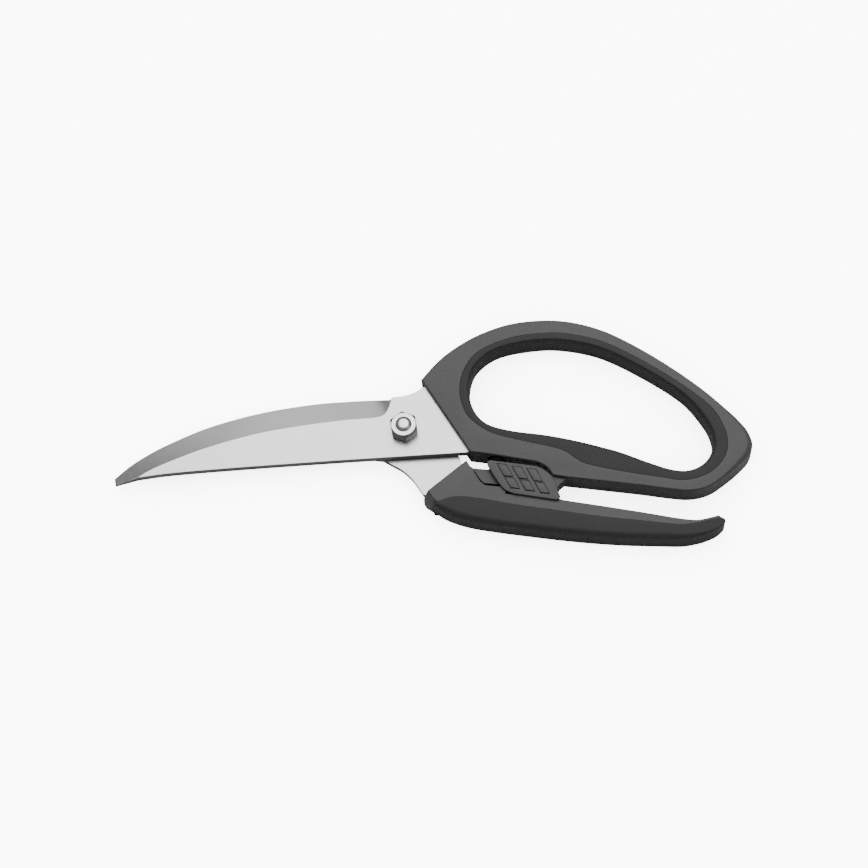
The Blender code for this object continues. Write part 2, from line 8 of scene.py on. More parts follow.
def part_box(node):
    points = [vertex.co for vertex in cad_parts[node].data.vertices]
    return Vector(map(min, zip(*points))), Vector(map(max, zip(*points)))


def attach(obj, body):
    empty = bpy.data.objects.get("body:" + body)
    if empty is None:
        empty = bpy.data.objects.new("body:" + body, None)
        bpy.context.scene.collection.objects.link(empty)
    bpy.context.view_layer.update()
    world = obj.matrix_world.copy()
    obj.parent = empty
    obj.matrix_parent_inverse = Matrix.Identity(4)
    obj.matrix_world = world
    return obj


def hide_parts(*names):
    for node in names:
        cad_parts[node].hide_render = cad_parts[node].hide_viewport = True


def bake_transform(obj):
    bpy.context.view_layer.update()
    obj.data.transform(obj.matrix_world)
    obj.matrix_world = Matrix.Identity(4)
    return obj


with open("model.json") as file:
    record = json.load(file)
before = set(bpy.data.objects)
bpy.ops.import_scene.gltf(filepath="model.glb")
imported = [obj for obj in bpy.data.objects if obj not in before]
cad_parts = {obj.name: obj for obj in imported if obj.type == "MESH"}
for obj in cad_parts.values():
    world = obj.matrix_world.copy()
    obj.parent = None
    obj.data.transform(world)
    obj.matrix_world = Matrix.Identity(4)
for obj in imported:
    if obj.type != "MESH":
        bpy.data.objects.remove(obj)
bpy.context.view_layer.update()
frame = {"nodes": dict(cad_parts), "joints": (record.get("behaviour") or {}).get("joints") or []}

mm = 0.001
pieceGap = 0.3           # mm left between pieces that touch
seamGap = 0.05           # between a soft grip and the hard core it is moulded on
sameSpot = 0.03          # outline points closer than this count as one
mergeWithin = 0.002 * mm
beyond = 1.0             # how far a cutter runs past the face that it cuts

handleBack, handleFront = (corner.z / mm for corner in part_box("loop_handle_shell"))
frontBladeLow, frontBladeHigh = (corner.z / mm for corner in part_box("front_blade"))
backBladeLow, backBladeHigh = (corner.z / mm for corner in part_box("back_blade"))
slideJoint = next(joint for joint in frame["joints"] if joint["type"] == "slide")


# selecting and shaping

def deselectAll():
    if bpy.context.mode != "OBJECT":
        bpy.ops.object.mode_set(mode="OBJECT")
    bpy.ops.object.select_all(action="DESELECT")


def pick(thing):
    deselectAll()
    thing.select_set(True)
    bpy.context.view_layer.objects.active = thing


def outwardNormals(thing):
    pick(thing)
    bpy.ops.object.mode_set(mode="EDIT")
    bpy.ops.mesh.select_all(action="SELECT")
    bpy.ops.mesh.remove_doubles(threshold=mergeWithin)
    bpy.ops.mesh.normals_make_consistent(inside=False)
    bpy.ops.object.mode_set(mode="OBJECT")


def finishWith(thing, kind, **settings):
    pick(thing)
    modifier = thing.modifiers.new(kind.lower(), kind)
    for key, value in settings.items():
        setattr(modifier, key, value)
    bpy.ops.object.modifier_apply(modifier=modifier.name)


def combine(thing, tool, operation="DIFFERENCE"):
    finishWith(thing, "BOOLEAN", object=tool, operation=operation, solver="EXACT")
    bpy.data.objects.remove(tool, do_unlink=True)


def cutAcross(thing, corners):
    # removes what lies outside the plane through three points, and closes the cut
    first, second, third = (Vector(corner) * mm for corner in corners)
    normal = (second - first).cross(third - first).normalized()
    pick(thing)
    bpy.ops.object.mode_set(mode="EDIT")
    bpy.ops.mesh.select_all(action="SELECT")
    bpy.ops.mesh.bisect(plane_co=first, plane_no=normal, use_fill=True, clear_outer=True)
    bpy.ops.object.mode_set(mode="OBJECT")


def smoothBy(thing, degrees):
    pick(thing)
    bpy.ops.object.shade_smooth_by_angle(angle=math.radians(degrees))


def raiseRings(name, rings, closed=True):
    # a circle, filled or open, extruded once for each ring, then every ring takes its own shape
    deselectAll()
    count = len(rings[0])
    fill = "NGON" if closed else "NOTHING"
    bpy.ops.mesh.primitive_circle_add(vertices=count, radius=20 * mm, fill_type=fill)
    thing = bpy.context.object
    thing.name = name
    bpy.ops.object.mode_set(mode="EDIT")
    bpy.ops.mesh.select_all(action="SELECT")
    for _ in rings[1:]:
        bpy.ops.mesh.extrude_region_move(TRANSFORM_OT_translate={"value": (0, 0, mm)})
    bpy.ops.object.mode_set(mode="OBJECT")
    points = [point for ring in rings for point in ring]
    for vertex, point in zip(thing.data.vertices, points):
        vertex.co = Vector(point) * mm
    outwardNormals(thing)
    return thing


# outlines, in mm

def smoothRun(points, steps=10):
    first = Vector(points[0]) * 2 - Vector(points[1])
    final = Vector(points[-1]) * 2 - Vector(points[-2])
    knots = [first] + [Vector(p) for p in points] + [final]
    run = []
    for before, start, end, after in zip(knots, knots[1:], knots[2:], knots[3:]):
        for step in range(steps):
            t = step / steps
            run.append(0.5 * (2 * start + (end - before) * t
                              + (2 * before - 5 * start + 4 * end - after) * t ** 2
                              + (3 * start - before - 3 * end + after) * t ** 3))
    return [(p.x, p.y) for p in run] + [tuple(points[-1])]


def smoothLoop(points, steps=10):
    run = smoothRun(points[-2:] + points + points[:3], steps)
    return run[2 * steps:(len(points) + 2) * steps]


def joinRuns(*runs):
    points = []
    for run in runs:
        for point in run:
            if not points or math.dist(point, points[-1]) > sameSpot:
                points.append(tuple(point))
    return points


def signedArea(points):
    return sum(a[0] * b[1] - b[0] * a[1] for a, b in zip(points, points[1:] + points[:1])) / 2


def outline(*runs):
    # the runs joined into one closed outline, anticlockwise
    points = joinRuns(*runs)
    if math.dist(points[0], points[-1]) < sameSpot:
        points.pop()
    return points if signedArea(points) > 0 else points[::-1]


def grown(points, distance, mitreLimit=0.6):
    # distance is one number, or one for each point
    count = len(points)
    distances = distance if isinstance(distance, list) else [distance] * count
    moved = []
    for index, point in enumerate(points):
        here = Vector(point)
        into = (here - Vector(points[index - 1])).normalized()
        out = (Vector(points[(index + 1) % count]) - here).normalized()
        across = Vector((into.y + out.y, -into.x - out.x)).normalized()
        reach = max(mitreLimit, across.dot(Vector((out.y, -out.x))))
        moved.append(tuple(here + across * distances[index] / reach))
    return moved


def evenly(points, count, start=None):
    # equal steps along an open run, or round a closed one from the point nearest to start
    ring = points
    if start:
        first = min(range(len(points)), key=lambda i: math.dist(points[i], start))
        ring = points[first:] + points[:first + 1]
    lengths = [math.dist(a, b) for a, b in zip(ring, ring[1:])]
    pace = sum(lengths) / (count if start else count - 1)
    result = []
    index, walked = 0, 0.0
    for number in range(count if start else count - 1):
        while walked + lengths[index] < number * pace:
            walked += lengths[index]
            index += 1
        part = (number * pace - walked) / lengths[index]
        result.append(tuple(Vector(ring[index]).lerp(Vector(ring[index + 1]), part)))
    return result if start else result + [tuple(points[-1])]


def between(a, b, part):
    return [tuple(Vector(p).lerp(Vector(q), part)) for p, q in zip(a, b)]


def isOn(point, run, tolerance=0.05):
    return min(math.dist(point, other) for other in run) < tolerance


def softened(values, reach):
    # a running mean round the outline, so that a rim's radius changes slowly
    count = len(values)
    window = range(-reach, reach + 1)
    return [sum(values[(i + j) % count] for j in window) / len(window) for i in range(count)]


def level(points, z):
    return [(x, y, z) for x, y in points]


def circle(radius, sides=96):
    angles = [2 * math.pi * i / sides for i in range(sides)]
    return [(radius * math.cos(a), radius * math.sin(a)) for a in angles]


def arc(radius, first, last, step=5):
    angles = [math.radians(degrees) for degrees in range(first, last, step)]
    return [(radius * math.cos(a), radius * math.sin(a)) for a in angles]


def square(across):
    half = across / 2
    return [(-half, -half), (half, -half), (half, half), (-half, half)]


def plate(name, points, low, high, rim=0.0, under=0.0, segments=6):
    # rim and under are the radii of the upper and lower edge: one number, or one for each point
    rings = []
    for radius, level0, away in ((under, low, 1), (rim, high, -1)):
        radii = radius if isinstance(radius, list) else [radius] * len(points)
        steps = range(segments + 1) if radius else [segments]
        side = []
        for number in steps:
            angle = math.pi / 2 * number / segments
            inward = grown(points, [-r * (1 - math.sin(angle)) for r in radii])
            rise = away * (1 - math.cos(angle))
            side.append([(x, y, level0 + rise * r) for (x, y), r in zip(inward, radii)])
        rings += side if away > 0 else side[::-1]
    return raiseRings(name, rings)


def turnedPiece(name, profile, sides=96):
    return raiseRings(name, [level(circle(radius, sides), z) for radius, z in profile])


def fromFaces(foot, low, top, high):
    # a turned profile given as radii with heights from the lower and from the upper face
    return [(radius, low + z) for radius, z in foot] + [(radius, high + z) for radius, z in top]


def standsFor(piece, node, body, slot, *materials):
    piece.data.materials.clear()
    for material in materials:
        piece.data.materials.append(material)
    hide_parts(node)
    if body:
        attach(piece, body)


def paintFaces(piece, number, test):
    for face in piece.data.polygons:
        if test(face.center / mm, face.normal):
            face.material_index = number


# shader maths

class Value:
    def __init__(self, shader, socket):
        self.shader = shader
        self.socket = socket

    def maths(self, operation, *others):
        inputs = {0: self}
        inputs.update({number + 1: other for number, other in enumerate(others)})
        return self.shader.add("ShaderNodeMath", {"operation": operation}, inputs)

    def __add__(self, other):
        return self.maths("ADD", other)

    def __sub__(self, other):
        return self.maths("SUBTRACT", other)

    def __rsub__(self, other):
        return self.maths("MULTIPLY", -1) + other

    def __mul__(self, other):
        return self.maths("MULTIPLY", other)


class Finish:
    def __init__(self, name, **fixed):
        self.material = bpy.data.materials.new(name)
        self.material.use_nodes = True
        self.tree = self.material.node_tree
        self.surface = self.tree.nodes["Principled BSDF"]
        for key, value in fixed.items():
            self.surface.inputs[key.replace("_", " ")].default_value = value

    def add(self, kind, settings=None, inputs=None, output=0):
        node = self.tree.nodes.new(kind)
        for key, value in (settings or {}).items():
            setattr(node, key, value)
        for key, value in (inputs or {}).items():
            self.connect(node.inputs[key], value)
        return Value(self, node.outputs[output])

    def connect(self, socket, value):
        if isinstance(value, Value):
            self.tree.links.new(value.socket, socket)
        else:
            socket.default_value = value

    def feed(self, **sockets):
        for key, value in sockets.items():
            self.connect(self.surface.inputs[key.replace("_", " ")], value)
        return self.material

    def place(self, scale=(1, 1, 1), turn=(0, 0, 0)):
        coordinates = self.add("ShaderNodeTexCoord", output="Object")
        return self.add("ShaderNodeMapping", {}, {"Vector": coordinates, "Scale": scale,
                                                  "Rotation": turn})

    def noise(self, where, scale, detail=3.0, roughness=0.55):
        return self.add("ShaderNodeTexNoise", {}, {"Vector": where, "Scale": scale, "Detail": detail,
                                                   "Roughness": roughness})

    def blendColours(self, mask, low, high):
        return self.add("ShaderNodeMix", {"data_type": "RGBA"},
                        {"Factor": mask, 6: (*low, 1), 7: (*high, 1)}, output=2)

    def bump(self, height, strength, distance):
        return self.add("ShaderNodeBump", {}, {"Height": height, "Strength": strength,
                                               "Distance": distance})

    def ramp(self, value, low, high):
        return self.add("ShaderNodeMapRange", {}, {"Value": value, "From Min": low, "From Max": high})


plasticScale = {"clouds": 60.0, "patches": 240.0, "edge": 0.5 * mm, "bump": 0.06 * mm,
                "roughnessSpread": 0.12, "polish": 0.08}
steelScale = {"clouds": 45.0, "bump": 0.02 * mm}


def mouldedPlastic(name, settings):
    scale = plasticScale
    finish = Finish(name, Specular_IOR_Level=settings["specular"])
    grain = finish.noise(finish.place(), settings["grain"], 2.0)
    clouds = finish.noise(finish.place(), scale["clouds"], 3.0)
    colour = finish.blendColours(finish.ramp(clouds, 0.3, 0.7), settings["dark"], settings["light"])
    # handled edges are paler and smoother, more in some places than in others
    inside = finish.add("ShaderNodeAmbientOcclusion", {"samples": 6, "inside": True},
                        {"Distance": scale["edge"]}, output=1)
    patches = finish.ramp(finish.noise(finish.place(), scale["patches"]), 0.35, 0.7)
    worn = finish.ramp(1 - inside, 0.1, 0.6) * patches
    colour = finish.add("ShaderNodeMix", {"data_type": "RGBA"},
                        {"Factor": worn * settings["wear"], 6: colour, 7: (*settings["worn"], 1)},
                        output=2)
    spread = scale["roughnessSpread"]
    roughness = finish.ramp(grain, 0.2, 0.8) * spread + (settings["roughness"] - spread / 2)
    return finish.feed(Base_Color=colour, Roughness=roughness - worn * scale["polish"],
                       Normal=finish.bump(grain, settings["depth"], scale["bump"]))


def satinSteel(name, settings):
    finish = Finish(name, Metallic=1.0)
    lines = finish.noise(finish.place(settings["stretch"], (0, 0, settings["turn"])), 1.0, 4.0, 0.7)
    clouds = finish.noise(finish.place(), steelScale["clouds"], 2.0)
    colour = finish.blendColours(finish.ramp(lines * 0.5 + clouds * 0.5, 0.3, 0.7), settings["dark"],
                                 settings["light"])
    roughness = finish.ramp(lines, 0.25, 0.75) * settings["spread"] + settings["roughness"]
    return finish.feed(Base_Color=colour, Roughness=roughness,
                       Normal=finish.bump(lines, settings["depth"], steelScale["bump"]))


hardPlastic = mouldedPlastic("handleGrey", {
    "dark": (0.066, 0.067, 0.069), "light": (0.074, 0.075, 0.077), "roughness": 0.5, "specular": 0.52,
    "grain": 2600.0, "depth": 0.22, "worn": (0.10, 0.10, 0.103), "wear": 0.6})
softPlastic = mouldedPlastic("gripDark", {
    "dark": (0.033, 0.033, 0.0335), "light": (0.038, 0.038, 0.0385), "roughness": 0.66, "specular": 0.45,
    "grain": 3400.0, "depth": 0.3, "worn": (0.055, 0.055, 0.056), "wear": 0.5})
bladeSatin = satinSteel("bladeSatin", {
    "dark": (0.71, 0.71, 0.715), "light": (0.76, 0.76, 0.765), "roughness": 0.3, "spread": 0.08,
    "stretch": (90, 5200, 5200), "turn": 0.06, "depth": 0.12})
bladeGround = satinSteel("bladeGround", {
    "dark": (0.46, 0.46, 0.465), "light": (0.54, 0.54, 0.545), "roughness": 0.36, "spread": 0.1,
    "stretch": (3600, 160, 3600), "turn": 0.25, "depth": 0.22})
# painted shade: the blades' side walls get a near-black copy of the blade steel, darker than bare steel would
# look
bladeSidePaintedShade = satinSteel("bladeSidePaintedShade", {
    "dark": (0.13, 0.13, 0.135), "light": (0.20, 0.20, 0.205), "roughness": 0.42, "spread": 0.1,
    "stretch": (900, 900, 2400), "turn": 0.0, "depth": 0.2})
fastenerSteel = satinSteel("fastenerSteel", {
    "dark": (0.72, 0.72, 0.725), "light": (0.80, 0.80, 0.805), "roughness": 0.2, "spread": 0.1,
    "stretch": (1200, 1200, 1200), "turn": 0.0, "depth": 0.1})
# painted shade: the nut's sides and chamfers get a darker copy of the fastener steel
fastenerSidePaintedShade = satinSteel("fastenerSidePaintedShade", {
    "dark": (0.24, 0.24, 0.243), "light": (0.34, 0.34, 0.343), "roughness": 0.24, "spread": 0.12,
    "stretch": (1200, 1200, 2600), "turn": 0.0, "depth": 0.15})
springSteel = satinSteel("springSteel", {
    "dark": (0.05, 0.05, 0.052), "light": (0.08, 0.08, 0.083), "roughness": 0.4, "spread": 0.1,
    "stretch": (1500, 1500, 1500), "turn": 0.0, "depth": 0.1})
print("materials ready")


# blades

frontBladeShape = {
    "edge": [(-114.4, -20.3), (-108.1, -14.4), (-100.2, -8.9), (-92.4, -4.6), (-80.5, 1.0), (-68.7, 5.1),
             (-56.9, 8.3), (-45.1, 10.6), (-33.3, 12.3), (-21.4, 13.2), (-13.6, 13.6), (-5.2, 13.9)],
    "grind": [(-104.8, -20.8), (-100.1, -17.6), (-92.2, -13.7), (-80.4, -8.8), (-68.6, -4.8),
              (-56.7, -1.5), (-44.9, 0.8), (-33.1, 2.7), (-21.3, 4.2), (-12.5, 4.9), (-8.2, 6.3),
              (-6.3, 9.6), (-5.2, 13.9)],
    "tip": (-113.5, -23.4),
    "rest": [[(-5.2, 13.9), (-1.6, 14.3), (2.4, 15.4), (4.6, 16.5), (7.1, 18.4)],
             [(9.5, 18.5), (15.5, 18.0)], [(18.5, 12.0), (19.5, 6.0)], [(24.0, 0.5), (31.0, -4.0)],
             [(31.0, -8.5), (26.8, -9.3)],
             [(24.8, -9.9), (2.4, -11.4), (-33.1, -13.9), (-68.6, -16.7), (-92.2, -18.9), (-104.8, -20.8)]]}
backBladeShape = {
    "edge": [(-109.6, -20.9), (-92.2, -17.4), (-68.6, -15.2), (-33.1, -12.5), (-11.0, -11.2)],
    "grind": [(-104.0, -13.6), (-92.2, -11.6), (-68.6, -9.2), (-33.1, -6.5), (-16.0, -5.9), (-12.0, -8.0),
              (-11.0, -11.2)],
    "tip": (-111.0, -19.6),
    "rest": [[(-8.1, -11.6), (-4.8, -13.5), (-0.3, -16.2), (4.0, -20.4), (8.0, -26.3)],
             [(14.5, -27.3), (30.5, -27.0)], [(30.5, -20.0), (22.7, -13.5)], [(21.9, -10.4), (14.0, -4.6)],
             arc(14.6, -17, 119),
             [(-10.0, 12.2), (-21.4, 11.5), (-45.1, 8.8), (-68.7, 3.3), (-92.4, -6.4), (-104.0, -13.6)]]}
bladeSizes = {"edge": 0.25, "tip": 1.4, "rimBreak": 0.18, "tipSpread": 0.06, "tipStep": 0.05,
              "sleeveHole": 4.3, "squareHole": 7.4, "groundFrom": 0.3, "groundTo": 0.995, "groundEnd": -4}


def makeBlade(name, shape, flatZ, groundZ):
    # four rings: the flat side, the cutting edge's height, the rim, and the ground side drawn in by the grind
    size = bladeSizes
    away = 1 if groundZ > flatZ else -1
    edge = smoothRun(shape["edge"], 12)
    rest = joinRuns(*(smoothRun(run, 8) if len(run) > 2 else run for run in shape["rest"]))
    rest = rest[1:] if math.dist(rest[0], edge[-1]) < sameSpot else rest
    grind = [shape["tip"]] + evenly(smoothRun(shape["grind"], 12), len(edge) - 1)
    around = edge + rest[:-1] + [shape["grind"][0], shape["tip"]]
    flatRing = level(around, flatZ)
    middle = level(around, flatZ + away * size["edge"])
    # the sheared rims are broken a little, and the cutting edge runs straight into its grind
    rimBreak = size["rimBreak"]
    shoulder = level(around, groundZ - away * rimBreak)
    narrowed = grown(around, -rimBreak if signedArea(around) > 0 else rimBreak)
    top = level(narrowed, groundZ)
    for number in range(len(edge)):
        shoulder[number] = middle[number]
        top[number] = (*grind[number], groundZ)
    tipZ = flatZ + away * size["tip"]
    top[0] = (*Vector(shape["tip"]).lerp(Vector(edge[0]), size["tipSpread"]), tipZ)
    top[-1] = (*shape["tip"], tipZ)
    shoulder[-1] = (*shape["tip"], tipZ - away * size["tipStep"])
    return raiseRings(name, [flatRing, middle, shoulder, top])


def bladePieces():
    size = bladeSizes
    front = makeBlade("frontBladeSteel", frontBladeShape, frontBladeLow, frontBladeHigh)
    hole = circle(size["sleeveHole"])
    combine(front, plate("bore", hole, frontBladeLow - beyond, frontBladeHigh + beyond))
    back = makeBlade("backBladeSteel", backBladeShape, backBladeHigh, backBladeLow)
    hole = square(size["squareHole"])
    combine(back, plate("squareHole", hole, backBladeLow - beyond, backBladeHigh + beyond))
    steep, flat = size["groundFrom"], size["groundTo"]
    for piece, node, body in ((front, "front_blade", "loop_handle"),
                              (back, "back_blade", "lower_handle")):
        smoothBy(piece, 8)
        standsFor(piece, node, body, "blade_steel", bladeSatin, bladeGround, bladeSidePaintedShade)
        paintFaces(piece, 1, lambda c, n: steep < abs(n.z) < flat and c.x < size["groundEnd"])
        # painted shade: the steep side walls, picked by their normal, take the darkened steel
        paintFaces(piece, 2, lambda c, n: abs(n.z) <= steep)


bladePieces()
print("blades ready")


# pivot

pivotSizes = {
    "head": [(6.6, 0), (6.85, 0.08), (7.0, 0.3), (7.0, 1.3), (6.8, 1.65), (6.3, 1.95)], "headTop": 6.0,
    "boltRadius": 2.85, "boltEnd": [(2.85, -0.75), (2.05, -0.06), (1.9, 0)], "neckRim": 0.2,
    "overlap": 1.0, "pitch": 1.0, "threadDepth": 0.35, "threadRoot": 0.5, "threadCrest": 0.9,
    "plainEnd": 0.5,
    "acrossFlats": 10.0, "nutTurn": math.radians(10), "nutBevel": 0.12, "clear": 0.35,
    "chamferFoot": [(-0.35, -0.01), (-0.1, 0)], "chamferTop": [(-0.25, 0), (-0.5, 0.01)],
    "chamferRise": 0.75, "chamferFall": 0.8,
    "boreFoot": [(3.4, -0.5), (3.4, 0), (2.95, 0.45)], "boreTop": [(2.95, -0.3), (3.2, 0), (3.2, 0.5)],
    "sideSlope": 0.93}


def pivotPieces():
    size = pivotSizes
    nutLow, nutHigh = (corner.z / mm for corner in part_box("pivot_nut"))
    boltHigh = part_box("pivot_bolt")[1].z / mm
    corner = size["acrossFlats"] / math.sqrt(3)
    flat = size["acrossFlats"] / 2

    head = turnedPiece("pivotBoltSteel", size["head"] + [(size["headTop"], backBladeLow - pieceGap)], 128)
    across = square(bladeSizes["squareHole"] - 2 * pieceGap)
    combine(head, plate("neck", across, size["overlap"], backBladeHigh, size["neckRim"]), "UNION")
    profile = [(size["boltRadius"], size["overlap"]), (size["boltRadius"], nutLow)]
    turn = nutLow
    while turn + size["pitch"] < boltHigh - size["plainEnd"]:
        root, crest = turn + size["pitch"] * size["threadRoot"], turn + size["pitch"] * size["threadCrest"]
        profile += [(size["boltRadius"] - size["threadDepth"], root), (size["boltRadius"], crest)]
        turn += size["pitch"]
    combine(head, turnedPiece("shank", fromFaces(profile, 0, size["boltEnd"], boltHigh)), "UNION")
    smoothBy(head, 35)
    standsFor(head, "pivot_bolt", "lower_handle", "fastener_steel", fastenerSteel)

    deselectAll()
    bpy.ops.mesh.primitive_cylinder_add(vertices=6, radius=corner * mm, depth=(nutHigh - nutLow) * mm,
                                        location=(0, 0, (nutLow + nutHigh) / 2 * mm),
                                        rotation=(0, 0, size["nutTurn"]))
    nut = bpy.context.object
    nut.name = "pivotNutHex"
    bpy.ops.object.transform_apply(location=True, rotation=True, scale=True)
    wide = corner + size["clear"]
    foot = [(flat + out, z) for out, z in size["chamferFoot"]] + [(wide, size["chamferRise"])]
    top = [(wide, -size["chamferFall"])] + [(flat + out, z) for out, z in size["chamferTop"]]
    combine(nut, turnedPiece("chamfer", fromFaces(foot, nutLow, top, nutHigh)), "INTERSECT")
    finishWith(nut, "BEVEL", width=size["nutBevel"] * mm, segments=3, limit_method="ANGLE",
               angle_limit=math.radians(28))
    bore = fromFaces(size["boreFoot"], nutLow, size["boreTop"], nutHigh)
    combine(nut, turnedPiece("bore", bore))
    smoothBy(nut, 30)
    standsFor(nut, "pivot_nut", "lower_handle", "fastener_steel", fastenerSteel, fastenerSidePaintedShade)
    # painted shade: the nut's sides and chamfers, picked by their slope, take the darkened steel
    paintFaces(nut, 1, lambda c, n: abs(n.z) < size["sideSlope"])


pivotPieces()
print("pivot ready")


# loop handle

loopShape = {
    "base": [(6.3, 20.5), (26.2, -10.4), (33.0, -11.3), (40.3, -12.5), (52.3, -14.6)],
    "notch": [(52.3, -14.6), (54.9, -15.9), (56.9, -17.6), (58.7, -20.2)],
    "outside": [(64.2, -21.1), (77.0, -22.6), (93.0, -24.5), (104.5, -26.1), (112.5, -26.5), (120.1, -24.3),
                (128.0, -18.4), (131.8, -14.8), (134.6, -11.7), (136.1, -8.5), (136.4, -5.7), (135.4, -2.5),
                (133.8, 0.4), (131.2, 3.4), (128.1, 6.6), (116.8, 16.9), (104.2, 26.6), (91.5, 35.0),
                (79.0, 41.7), (66.2, 45.6), (54.2, 46.5), (40.6, 44.7), (27.9, 39.7), (17.7, 33.0),
                (11.6, 27.1), (6.3, 20.5)],
    "catch": [(57.4, -19.0), (58.3, -22.9), (57.4, -24.5), (54.8, -24.7), (54.8, -26.4), (59.4, -26.8),
              (61.4, -23.4), (64.6, -20.7), (64.6, -19.0)],
    "ring": [(25.4, 4.3), (30.4, 0.0), (37.0, -3.3), (49.8, -6.5), (58.0, -8.4), (63.6, -10.4),
             (67.9, -13.6), (72.5, -15.8), (85.2, -18.6), (101.0, -21.2), (109.0, -22.3), (116.8, -20.5),
             (122.8, -16.2), (126.4, -9.6), (126.0, -1.5), (120.7, 8.6), (108.9, 18.7), (93.1, 29.3),
             (77.4, 37.4), (62.0, 40.8), (50.0, 40.4), (43.4, 39.3), (37.5, 37.4), (31.5, 34.6),
             (27.3, 31.5), (24.2, 27.0), (22.2, 22.0), (21.6, 17.0), (21.9, 12.5), (23.3, 8.1)],
    "hole": [(27.8, 7.4), (32.8, 2.0), (42.0, -0.8), (53.7, -2.3), (61.5, -3.6), (69.4, -5.25),
             (77.3, -7.4), (85.2, -9.8), (95.0, -13.8), (103.9, -17.0), (110.5, -17.7), (116.5, -15.1),
             (120.1, -10.3), (120.8, -4.1), (117.5, 3.9), (108.7, 14.9), (92.8, 25.9), (76.8, 34.1),
             (61.1, 37.4), (49.0, 36.9), (37.1, 34.2), (29.5, 28.7), (26.2, 22.5), (25.6, 14.6)],
    "tang": [(4.0, 21.0), (9.0, 19.0), (15.5, 18.0), (18.5, 12.0), (19.5, 6.0), (24.0, 0.5),
             (31.0, -4.0), (31.0, -8.5), (26.8, -9.3), (25.6, -9.6), (10.0, -9.6)],
    "rim": 0.5, "endRim": 2.8, "endRimFrom": 112, "endRimOver": 25, "baseRim": 0.6, "baseRimTo": 27,
    "under": 0.4, "coreLow": 3.0, "coreHigh": 8.0, "coreInset": 2.2, "webReach": 2.0, "grooveReach": 3.0,
    "catchHigh": 9.4, "catchRim": 0.25, "gripPoints": 320, "gripFlat": 0.7, "gripFall": 3.0,
    "gripFront": [(0.0, 0.15), (0.02, 0.03), (0.05, 0.0)],
    "gripBack": [(1.0, 1.2), (0.93, 0.4), (0.75, 0.05), (0.5, 0.0), (0.08, 0.0), (0.03, 0.08), (0.0, 0.35)]}
springPlace = {"x": 36.5, "z": 5.5, "low": -27.0, "high": -7.4, "pocket": 3.7, "radius": 2.8,
               "wire": 0.45, "turns": 10, "closedTurns": 1.2, "closedPitch": 1.12, "stepsPerTurn": 40,
               "loopPocketEnd": -16, "straightPocketEnd": -14}


def springPocket(low, high):
    place = springPlace
    around = [(place["x"] + x, place["z"] + z) for x, z in circle(place["pocket"], 48)]
    return raiseRings("pocket", [[(x, y, z) for x, z in around] for y in (low, high)])


def tangPocket(points, low, high):
    # the room that a handle leaves for its blade's tang
    return plate("tangPocket", grown(outline(points), pieceGap), low - pieceGap, high + pieceGap)


def loopPieces():
    shape = loopShape
    ring, hole = smoothLoop(shape["ring"]), smoothLoop(shape["hole"])
    base = evenly(shape["base"][:2], 24) + smoothRun(shape["base"][1:], 6)
    around = outline(base, smoothRun(shape["notch"], 6), smoothRun(shape["outside"]))
    rims = []
    for x, y in around:
        share = min(max((x - shape["endRimFrom"]) / shape["endRimOver"], 0), 1) ** 2
        onBase = x < shape["baseRimTo"] and isOn((x, y), base)
        rims.append(shape["baseRim"] if onBase else shape["rim"] + (shape["endRim"] - shape["rim"]) * share)
    rims = softened(rims, 4)
    shell = plate("loopHandleHard", around, handleBack, handleFront, rims, shape["under"])
    opening = grown(ring, seamGap / 2)
    combine(shell, plate("opening", opening, handleBack - beyond, handleFront + beyond))
    core = grown(hole, shape["coreInset"])
    web = plate("web", grown(ring, shape["webReach"]), shape["coreLow"], shape["coreHigh"])
    combine(web, plate("webOpening", core, handleBack, handleFront))
    combine(shell, web, "UNION")
    catch = plate("catch", outline(shape["catch"]), shape["coreLow"], shape["catchHigh"], shape["catchRim"])
    combine(shell, catch, "UNION")
    combine(shell, tangPocket(shape["tang"], frontBladeLow, frontBladeHigh))
    combine(shell, springPocket(springPlace["high"] + pieceGap, springPlace["loopPocketEnd"]))
    smoothBy(shell, 32)
    standsFor(shell, "loop_handle_shell", "loop_handle", "handle_grey", hardPlastic)

    count = shape["gripPoints"]
    outer = evenly(grown(ring, -seamGap / 2), count, shape["ring"][-2])
    inner = evenly(hole, count, shape["hole"][-1])
    # pairs: the share of the way from the hard ring to the opening, and the surface's fall there
    flat, fall = shape["gripFlat"], shape["gripFall"]
    front = list(shape["gripFront"])
    for step in range(13):
        angle = math.pi / 2 * step / 12
        front.append((flat + (1 - flat) * math.sin(angle), fall * (1 - math.cos(angle))))
    rings = [level(between(outer, inner, part), handleFront - drop) for part, drop in front]
    rings += [level(between(outer, inner, part), handleBack + drop) for part, drop in shape["gripBack"]]
    rings.append(rings[0])
    grip = raiseRings("loopHandleSoft", rings, closed=False)
    groove = plate("groove", grown(ring, shape["grooveReach"]), shape["coreLow"] - pieceGap,
                   shape["coreHigh"] + pieceGap)
    combine(groove, plate("grooveCore", grown(core, -pieceGap), handleBack, handleFront))
    combine(grip, groove)
    smoothBy(grip, 40)
    standsFor(grip, "loop_handle_grip", "loop_handle", "grip_dark", softPlastic)


loopPieces()
print("loop handle ready")


# straight handle

